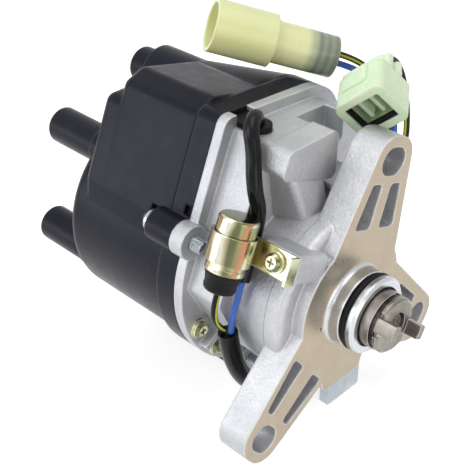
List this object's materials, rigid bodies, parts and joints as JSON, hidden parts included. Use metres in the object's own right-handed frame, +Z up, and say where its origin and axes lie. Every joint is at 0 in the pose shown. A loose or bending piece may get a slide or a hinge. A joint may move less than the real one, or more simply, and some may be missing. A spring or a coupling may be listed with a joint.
{
  "type": "ignition distributor",
  "caption": "Ignition distributor: black moulded cap with lead towers, cast housing with slotted flange, drive coupling, condenser and wiring connectors.",
  "frame": {"origin": "centre of the flange's mounting face, where the shaft axis crosses it", "axes": "+X along the shaft to the drive coupling, +Z up, +Y to the right seen from the coupling"},
  "size_m": [0.1689, 0.117, 0.1567],
  "materials": {
    "cast_aluminium": "die-cast, fine satin, machined on the flange face",
    "black_moulding": "satin black moulding",
    "dark_plastic": "matte",
    "black_rubber": "matte",
    "black_sleeve": "soft vinyl sleeve, satin",
    "zinc_steel": "bright zinc",
    "yellow_zinc": "yellow passivated zinc",
    "turned_steel": "turned",
    "sintered_steel": "dark turned steel",
    "terminal_alloy": "plain",
    "brass": "plain",
    "carbon": "carbon",
    "round_connector_nylon": "translucent yellow-green nylon",
    "square_connector_nylon": "pale green nylon",
    "blue_wire": "insulation",
    "striped_wire": "black insulation with a yellow-green stripe"
  },
  "bodies": {
    "case": {"housing": "cast_aluminium", "cap": "black_moulding", "cap_seal": "black_rubber", "cap_screw_1": "zinc_steel", "cap_screw_2": "zinc_steel", "cap_screw_3": "zinc_steel", "tower_terminal_1": "terminal_alloy", "tower_terminal_2": "terminal_alloy", "tower_terminal_3": "terminal_alloy", "tower_terminal_4": "terminal_alloy", "brush_spring": "zinc_steel", "front_bearing_outer": "turned_steel", "rear_bearing_outer": "turned_steel", "rear_plate": "cast_aluminium", "oil_seal": "black_rubber", "pickup_coil_1": "dark_plastic", "pickup_coil_2": "dark_plastic", "ignition_module": "dark_plastic", "ignition_coil": "dark_plastic", "dust_shield": "dark_plastic", "o_ring": "black_rubber", "condenser_can": "yellow_zinc", "condenser_bracket": "yellow_zinc", "bracket_screw": "yellow_zinc", "condenser_boot": "black_rubber", "ledge_screw_1": "yellow_zinc", "ledge_screw_2": "yellow_zinc", "lower_bracket": "zinc_steel", "lower_bracket_screw": "zinc_steel", "upper_sleeve": "black_sleeve", "sleeve_grommet": "black_rubber", "blue_lead": "blue_wire", "condenser_lead": "striped_wire", "harness_sleeve": "black_sleeve", "round_connector": "round_connector_nylon", "round_connector_seal": "black_rubber", "square_connector": "square_connector_nylon", "square_connector_seal": "black_rubber", "round_lead_1": "striped_wire", "round_lead_2": "striped_wire", "square_lead_1": "striped_wire", "square_lead_2": "blue_wire"},
    "shaft_line": {"shaft": "turned_steel", "front_bearing_inner": "turned_steel", "rear_bearing_inner": "turned_steel", "reluctor_crank": "turned_steel", "reluctor_cylinder": "turned_steel", "rotor": "dark_plastic", "rotor_blade": "brass", "rotor_screw": "zinc_steel", "coupling_pin": "turned_steel"},
    "drive_coupling": {"coupling": "sintered_steel", "coupling_spring_ring": "turned_steel"},
    "brush": {"carbon_brush": "carbon"}
  },
  "joints": [
    {"name": "shaft_spin", "type": "hinge", "parent": "case", "child": "shaft_line", "pos_m": [0, 0, 0], "axis": [1, 0, 0], "continuous": true},
    {"name": "coupling_float", "type": "slide", "parent": "shaft_line", "child": "drive_coupling", "axis": [0, 0.4695, 0.8829], "range_m": [-0.00025, 0.00025]},
    {"name": "brush_slide", "type": "slide", "parent": "case", "child": "brush", "axis": [1, 0, 0], "range_m": [-0.0015, 0], "stiffness_N_per_m": 150, "springref_m": 0.004}
  ]
}
